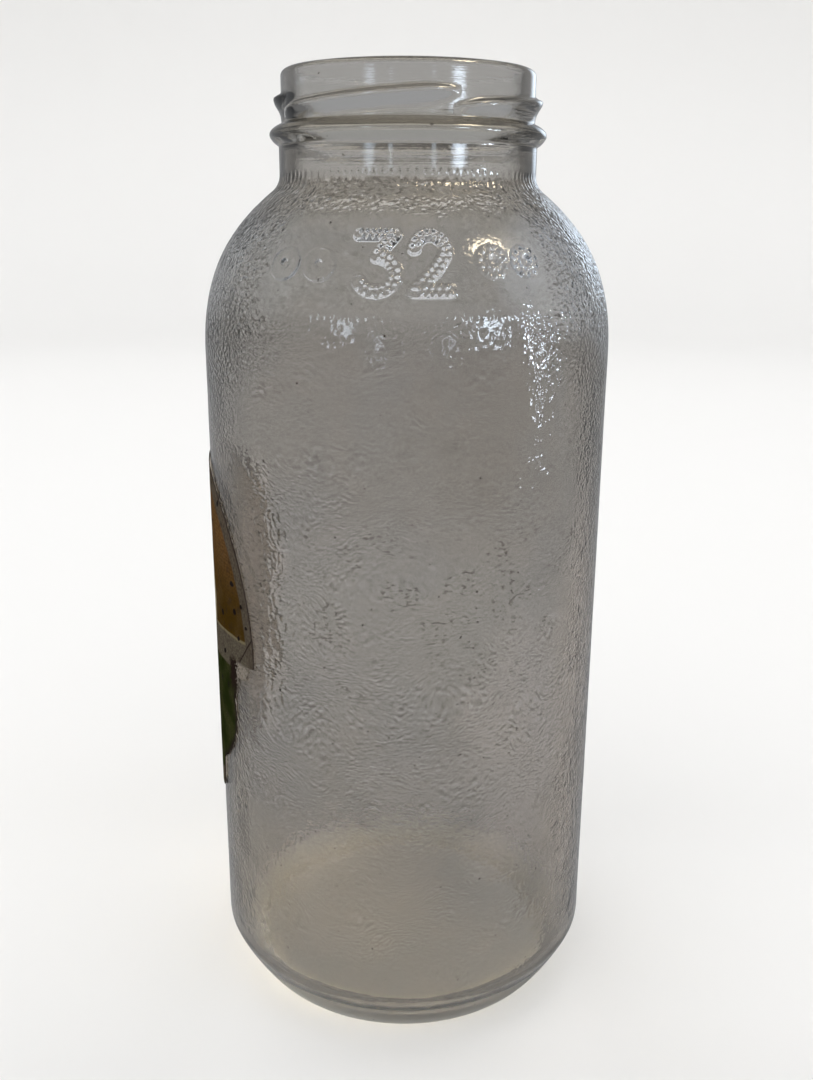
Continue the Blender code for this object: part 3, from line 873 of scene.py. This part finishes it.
class Shop:
    """Where the nodes of one material, lamp or world are made."""

    def __init__(self, owner, kind="Material"):
        owner.use_nodes = True
        self.owner = owner
        self.kind = kind
        self.tree = owner.node_tree
        self.tree.nodes.clear()

    def node(self, kind, settings=None, sockets=None, out=0):
        """Adds a node, sets its settings, then fills or links its sockets."""
        made = self.tree.nodes.new(kind)
        for name, value in (settings or {}).items():
            setattr(made, name, value)
        for name, value in (sockets or {}).items():
            if isinstance(value, Value):
                self.tree.links.new(value.socket, made.inputs[name])
            else:
                made.inputs[name].default_value = value
        return Value(self, made.outputs[out])

    def place(self):
        return self.node("ShaderNodeTexCoord", out="Object")

    def up(self, where):
        return self.node("ShaderNodeSeparateXYZ", None, {0: where}, out="Z")

    def kept(self, name, out="Fac"):
        return self.node("ShaderNodeAttribute", {"attribute_name": name}, out=out)

    def noise(self, where, detail):
        """Noise, 0 to 1, one cell a unit."""
        sockets = {"Vector": where, "Scale": 1.0, "Detail": detail}
        return self.node("ShaderNodeTexNoise", None, sockets, out="Fac")

    def grain(self, where, size, detail=2.0, stretch=(1.0, 1.0, 1.0), shift=0.0):
        """Noise of a feature size in metres, 0 to 1."""
        scale = tuple(1.0 / (size * axis) for axis in stretch)
        sockets = {0: where, 1: scale, 2: (shift, shift * 1.7, shift * 2.3)}
        return self.noise(self.node("ShaderNodeVectorMath", {"operation": "MULTIPLY_ADD"}, sockets), detail)

    def mixed(self, factor, first, second):
        """A colour between two, either of which may be a plain tuple."""
        ends = [(*end, 1.0) if isinstance(end, tuple) else end for end in (first, second)]
        return self.node("ShaderNodeMix", {"data_type": "RGBA"}, {0: factor, 6: ends[0], 7: ends[1]}, out=2)

    def bump(self, height):
        """Height is in metres."""
        return self.node("ShaderNodeBump", None, {"Height": height, "Strength": 1.0, "Distance": 1.0})

    def surface(self, **values):
        sockets = {name.replace("_", " "): value for name, value in values.items()}
        return self.node("ShaderNodeBsdfPrincipled", None, sockets)

    def done(self, shader):
        output = self.tree.nodes.new(f"ShaderNodeOutput{self.kind}")
        self.tree.links.new(shader.socket, output.inputs["Surface"])
        return self.owner


def material_shop(name):
    return Shop(bpy.data.materials.new(name))


def combed_lines(shop, where, spacing, length):
    """Fine lines that mostly run level and bend together: their height, and the same a step higher up."""
    up = shop.up(where)
    level = up + shop.kept("bend")
    flow = {axis: up.other(axis) / length for axis in ("X", "Y")}
    waves = []
    for step in (0.0, spacing * 0.45):
        flow["Z"] = (level + step) / spacing
        waves.append(shop.noise(shop.node("ShaderNodeCombineXYZ", None, flow), 0.0))
    return waves


def bottle_glass():
    shop = material_shop("bottle_glass_wrinkled")
    where = shop.place()
    outer = shop.kept("outer")
    ripples = shop.kept("ripples")
    pits = shop.kept("pits")
    tilt = shop.kept("tilt")
    tint_and_painted_light = shop.kept("tint_and_painted_light", "Color")

    # the wrinkles: fine combed lines down the body, and gathered short dashes. Their colour is painted: the
    # lines get painted shade where they face up and a painted highlight where they face down, and the
    # dashes are painted shade
    waves, waves_above = combed_lines(shop, where, 0.66 * MM, 1.0 * MM)
    slope = waves - waves_above
    tint_and_painted_light = shop.mixed(slope.between(0.04, 0.20) * ripples * 0.85, tint_and_painted_light, GLASS_PAINTED_SHADE)
    tint_and_painted_light = shop.mixed((-slope).between(0.04, 0.20) * ripples * 0.45, tint_and_painted_light, GLASS_LOWER_EDGE_HIGHLIGHT)
    dashes = shop.grain(where, 0.50 * MM, 0.0, (2.0, 2.0, 1.0), 21.0).between(0.62, 0.70)
    tint_and_painted_light = shop.mixed(dashes * shop.kept("dashes") * 0.85, tint_and_painted_light, GLASS_PAINTED_SHADE)
    # painted shade in the grooves
    tint_and_painted_light = shop.mixed(shop.kept("groove").between(0.20, 0.90) * 0.25, tint_and_painted_light, GLASS_PAINTED_SHADE)

    # painted light on raised forms: a painted highlight on their lower edges and painted shade on their
    # upper ones
    tint_and_painted_light = shop.mixed(tilt.between(0.15, 0.90) * 0.5, tint_and_painted_light, GLASS_UPPER_EDGE_SHADE)
    tint_and_painted_light = shop.mixed((-tilt).between(0.10, 0.60) * 0.85, tint_and_painted_light, GLASS_LOWER_EDGE_HIGHLIGHT)

    # a few specks of dirt
    specks = shop.grain(where, 0.9 * MM, 0.0, shift=14.0).between(0.835, 0.86)
    tint_and_painted_light = shop.mixed(specks * outer, tint_and_painted_light, GLASS_DIRT)

    peel = shop.grain(where, 0.80 * MM, 0.0, (1.0, 1.0, 0.8), 7.0)
    in_neck = shop.up(where).between(*NECK_FOOT)
    neck_lines = shop.grain(where, 0.45 * MM, 1.0, (60.0, 60.0, 1.0), 2.0) * in_neck
    height = (peel - 0.5) * PEEL_DEPTH * (pits * 0.97 + 0.03) + neck_lines * NECK_LINE_DEPTH
    height = height + (waves - 0.5) * RIPPLE_DEPTH * (ripples * 0.95 + 0.05)

    glass = shop.surface(
        Base_Color=tint_and_painted_light,
        Roughness=shop.kept("worn").between(0.0, 1.0, *GLASS_ROUGHNESS),
        IOR=1.5,
        Transmission_Weight=1.0,
        Normal=shop.bump(height * outer),
    )
    clear = shop.node("ShaderNodeBsdfTransparent", None, {"Color": (*GLASS_SHADOW, 1.0)})
    shadow = shop.node("ShaderNodeLightPath", out="Is Shadow Ray")
    return shop.done(shop.node("ShaderNodeMixShader", None, {0: shadow, 1: glass, 2: clear}))


def label_print(shop, across, tall, grain, blotch):
    """A band across an oval field, gold above it and green below, with a plain border."""
    wobble = (blotch - 0.5) * 0.8
    oval = ((across / 29.6) ** 2.0 + ((tall - 88.0) / 36.8) ** 2.0) ** 0.5
    lines = (tall * 7.5 + wobble * 1.5).math("SINE").between(-0.4, 0.9)
    gold = shop.mixed(tall.between(96.0, 118.0), (0.042, 0.023, 0.003), (0.120, 0.062, 0.024))
    gold = shop.mixed(grain.between(0.35, 0.65) * 0.5 + lines * 0.15, gold, (0.026, 0.014, 0.004))
    gold = shop.mixed(blotch.between(0.4, 0.7, 0.0, 0.5), gold, (0.060, 0.036, 0.012))
    green = shop.mixed(blotch.between(0.35, 0.65), (0.010, 0.014, 0.003), (0.022, 0.025, 0.007))
    band = shop.mixed(grain.between(0.3, 0.7), (0.050, 0.041, 0.029), (0.086, 0.073, 0.054))
    level = tall + (across - 26.0) ** 2.0 * 0.0035 + wobble
    field = shop.mixed(level.between(84.2, 84.8), green, band)
    field = shop.mixed(level.between(91.6, 92.0), field, (0.125, 0.105, 0.060))
    above_band = level.between(92.2, 92.6)
    field = shop.mixed(above_band, field, gold)
    from_sun = (across**2.0 + (tall - 96.0) ** 2.0) ** 0.5
    field = shop.mixed(from_sun.between(11.2, 10.8) * above_band, field, (0.22, 0.19, 0.12))
    border = shop.mixed(grain.between(0.3, 0.7), (0.044, 0.035, 0.025), (0.078, 0.064, 0.048))
    colour = shop.mixed((oval + wobble * 0.01).between(1.005, 0.985), border, field)

    # a crack and three blots
    crack = (tall - 92.6 - (across - 31.0) * 1.27 + wobble).math("ABSOLUTE").between(0.45, 0.15)
    colour = shop.mixed(crack * across.between(26.0, 26.6), colour, (0.02, 0.014, 0.012))
    for spot, rise, wide in ((25.0, 98.2, 0.9), (28.0, 100.2, 0.55), (29.8, 95.8, 0.55)):
        apart = ((across - spot) ** 2.0 + (tall - rise) ** 2.0) ** 0.5 + wobble * 0.6
        colour = shop.mixed(apart.between(wide, wide * 0.6), colour, (0.008, 0.006, 0.006))
    return colour


def label_paper():
    shop = material_shop("label_paper_printed")
    where = shop.place()
    across, tall, from_edge, torn_edge, printed = map(
        shop.kept, ("across", "tall", "from_edge", "torn_edge", "printed")
    )
    grain = shop.grain(where, 0.5 * MM, 3.0)
    blotch = shop.grain(where, 6 * MM, 3.0, shift=3.0)
    fine = shop.grain(where, 0.16 * MM, 1.0, shift=8.0)
    colour = label_print(shop, across, tall, grain, blotch)

    # age: dirt, specks, rubbed places, and a dark torn edge with pale fibres, with a painted shadow beside
    # the fibres
    dirt = shop.grain(where, 2.2 * MM, 4.0, shift=12.0).between(0.52, 0.72)
    specks = shop.grain(where, 2.6 * MM, 0.0, shift=27.0).between(0.765, 0.79)
    rubbed = fine.between(0.62, 0.75) * blotch.between(0.4, 0.6)
    frayed = from_edge.between(1.6, 0.3) * torn_edge * grain.between(0.38, 0.55)
    ragged = tall + (grain - 0.5) * 3.0
    painted_fibre_shadow = ragged.between(87.2, 86.2) * ragged.between(76.0, 81.0)
    painted_fibre_shadow = (across + (grain - 0.5) * 5.0).between(20.8, 22.0) * painted_fibre_shadow
    pulp = (across + (grain - 0.5) * 6.0).between(24.6, 25.6) * ragged.between(87.0, 86.2)
    fibres = shop.mixed(grain.between(0.35, 0.6), (0.10, 0.085, 0.068), (0.20, 0.178, 0.150))
    for share, aged in (
        (dirt * 0.45, (0.022, 0.016, 0.013)),
        (specks, (0.010, 0.008, 0.008)),
        (rubbed * 0.4, (0.17, 0.15, 0.13)),
        (from_edge.between(0.55, 0.15) * 0.8, (0.022, 0.016, 0.016)),
        (frayed, (0.016, 0.012, 0.010)),
        (painted_fibre_shadow, (0.014, 0.009, 0.007)),
        (pulp, fibres),
    ):
        colour = shop.mixed(share, colour, aged)

    # the unprinted side
    back = shop.mixed(blotch.between(0.3, 0.7), (0.86, 0.79, 0.71), (0.92, 0.86, 0.79))
    back = shop.mixed(dirt * 0.2, back, (0.4, 0.3, 0.24))
    # painted shade: the back darkens towards its edges, in the narrow gap against the glass
    back = shop.mixed(from_edge.between(2.0, 0.5), back, (0.05, 0.04, 0.035))
    height = grain * (0.03 * MM) + fine * (0.012 * MM) + blotch * (0.1 * MM)
    paper = shop.surface(
        Base_Color=shop.mixed(printed.between(0.02, 0.08), back, colour),
        Roughness=grain.between(0.3, 0.7, 0.55, 0.8),
        Specular_IOR_Level=0.0,
        Normal=shop.bump(height),
    )
    return shop.done(paper)


def stage_paint():
    shop = material_shop("stage_paint")
    soft = shop.grain(shop.place(), 0.4, 2.0)
    colour = shop.mixed(soft, (0.80, 0.795, 0.785), (0.815, 0.81, 0.80))
    return shop.done(shop.surface(Base_Color=colour, Roughness=0.9, Specular_IOR_Level=0.0))


# ---- stage, lights, camera


def put(name, data):
    made = bpy.data.objects.new(name, data)
    bpy.context.scene.collection.objects.link(made)
    return made


def stage():
    """A pale floor that rises into a low pale wall all round."""
    turn = np.linspace(0.0, math.tau, STAGE_STEPS + 1)[:-1]
    profile = [(0.5, 0.0), (FLOOR_RADIUS, 0.0)]
    for step in range(1, 13):
        lean = math.radians(90.0 * step / 12)
        profile.append((FLOOR_RADIUS + 0.5 * math.sin(lean), 0.5 - 0.5 * math.cos(lean)))
    profile.append((FLOOR_RADIUS + 0.5, 0.75))
    rows = [around(radius, turn, np.full(STAGE_STEPS, height)) for radius, height in profile]
    points = np.concatenate([*rows, [(0.0, 0.0, 0.0)]])
    index, after, quads = closed_grid(len(rows), STAGE_STEPS)
    fans = [(len(points) - 1, index[0, column], after[0, column]) for column in range(STAGE_STEPS)]
    mesh = mesh_from("stage_floor", points, quads[:, TURNED_OVER], fans)
    mesh.materials.append(stage_paint())
    floor = put("stage_floor", mesh)
    floor.location = (0.0, 0.0, -0.0001)
    floor.visible_glossy = False


def soften(lamp):
    """Fades an area lamp towards its edges."""
    shop = Shop(lamp, "Light")
    sockets = {0: shop.node("ShaderNodeNewGeometry", out="Parametric"), 1: (0.5, 0.5, 0.0)}
    reach = shop.node("ShaderNodeVectorMath", {"operation": "DISTANCE"}, sockets, out="Value")
    shop.done(shop.node("ShaderNodeEmission", None, {"Strength": reach.between(0.5, 0.1)}))


def hang(lamp, azimuth, elevation, *unseen_by):
    """Turns a lamp towards the bottle and hides it from the camera, from light through glass and from
    the other rays named."""
    placed = put(lamp.name, lamp)
    placed.rotation_euler = (math.pi / 2 - math.radians(elevation), 0.0, math.radians(azimuth))
    for ray in ("camera", "transmission", *unseen_by):
        setattr(placed, f"visible_{ray}", False)
    return placed


def window(name, azimuth, elevation, distance, wide, tall, radiance, colour):
    """A soft-edged lamp seen only as a reflection, wide and tall in degrees as seen from the bottle."""
    made = bpy.data.lights.new(name, "AREA")
    made.shape = "RECTANGLE"
    made.size = 2 * distance * math.tan(math.radians(wide) / 2)
    made.size_y = 2 * distance * math.tan(math.radians(tall) / 2)
    made.energy = radiance * math.pi * made.size * made.size_y
    made.color = colour
    rise = math.radians(elevation)
    up = WINDOW_LEVEL + distance * math.sin(rise)
    placed = hang(made, azimuth, elevation, "diffuse")
    placed.location = around(distance * math.cos(rise), math.radians(azimuth), up)
    soften(made)


def sun(azimuth):
    """A broad soft light that only matt surfaces take."""
    made = bpy.data.lights.new(f"sun_{azimuth}", "SUN")
    made.energy = SUN_STRENGTH
    made.angle = math.radians(60.0)
    hang(made, azimuth, 38.0, "glossy")


def air():
    """An even pale surround. Matt surfaces take most of their light from the suns instead."""
    world = bpy.data.worlds.new("studio_air")
    bpy.context.scene.world = world
    shop = Shop(world, "World")
    # only a reflection off the outside takes the darker surround, not light turned back inside the glass
    reflected = shop.node("ShaderNodeLightPath", out="Is Reflection Ray")
    off_outside = reflected.math("SUBTRACT", reflected.other("Transmission Depth"), use_clamp=True)
    seen = off_outside.between(0.0, 1.0, AIR_SEEN, AIR_REFLECTED)
    strength = reflected.other("Is Diffuse Ray").between(0.0, 1.0, seen, AIR_ON_MATT)
    shop.done(shop.node("ShaderNodeBackground", None, {"Color": (*AIR_COLOUR, 1.0), "Strength": strength}))


def lights():
    for azimuth in (45, 135, 225, 315):
        sun(azimuth)
    for lamp in WINDOWS:
        window(*lamp)
    air()
    bpy.context.scene.view_settings.view_transform = "Standard"


def camera():
    made = bpy.data.cameras.new("camera")
    made.lens = CAMERA_LENS
    made.sensor_width = CAMERA_SENSOR
    made.clip_start = 10 * MM
    placed = put("camera", made)
    placed.location = (0.2 * MM, -CAMERA_DISTANCE, CAMERA_HEIGHT)
    placed.rotation_euler = (math.pi / 2 - CAMERA_PITCH, 0.0, 0.0)
    placed.rotation_euler.rotate_axis("Z", CAMERA_ROLL)
    bpy.context.scene.camera = placed


def dress(name, mesh, material, node):
    piece = put(name, mesh)
    mesh.materials.append(material)
    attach(piece, "root")
    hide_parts(node)


def main():
    camera()
    stage()
    lights()
    dress("bottle_glass_body", bottle_mesh(), bottle_glass(), "bottle")
    dress("label_paper_sheet", label_mesh(), label_paper(), "label")


main()
